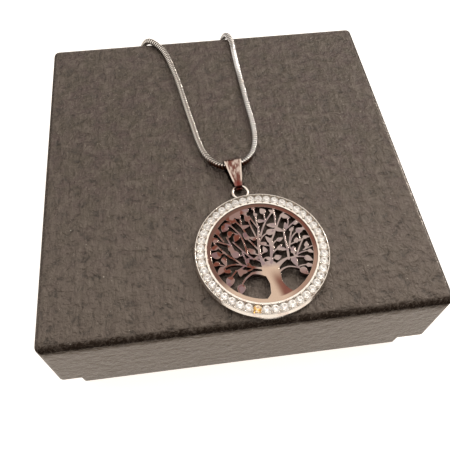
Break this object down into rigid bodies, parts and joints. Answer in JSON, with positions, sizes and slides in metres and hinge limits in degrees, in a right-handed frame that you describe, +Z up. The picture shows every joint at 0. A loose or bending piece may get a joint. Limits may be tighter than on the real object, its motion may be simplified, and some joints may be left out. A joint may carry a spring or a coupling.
{
  "type": "tree of life pendant on a snake chain on a gift box",
  "caption": "Round tree of life pendant with a stone-set rim on a silver snake chain, lying on a closed square gift box.",
  "frame": {"origin": "middle of the gift box's underside, on the surface it stands on", "axes": "+Z up out of the lid, +Y from the pendant's half of the lid to the edge that the chain goes over, +X to the right when the pendant is seen upright"},
  "size_m": [0.1149, 0.1307, 0.0395],
  "materials": {
    "box_paper": "dark grey-brown mottled paper over board",
    "chain_silver": "bright silver with fine close ridges",
    "polished_silver": "polished silver",
    "tree_silver": "polished silver with warm reflections",
    "clear_crystal": "clear facetted stones",
    "amber_crystal": "amber-tinted facetted stone"
  },
  "bodies": {
    "root": {"box_tray": "box_paper", "box_lid": "box_paper", "chain_left": "chain_silver", "chain_right": "chain_silver", "clasp": "polished_silver", "bail": "polished_silver", "pendant_frame": "polished_silver", "tree_plate": "tree_silver", "crystals": "clear_crystal", "amber_stone": "amber_crystal"}
  },
  "joints": []
}
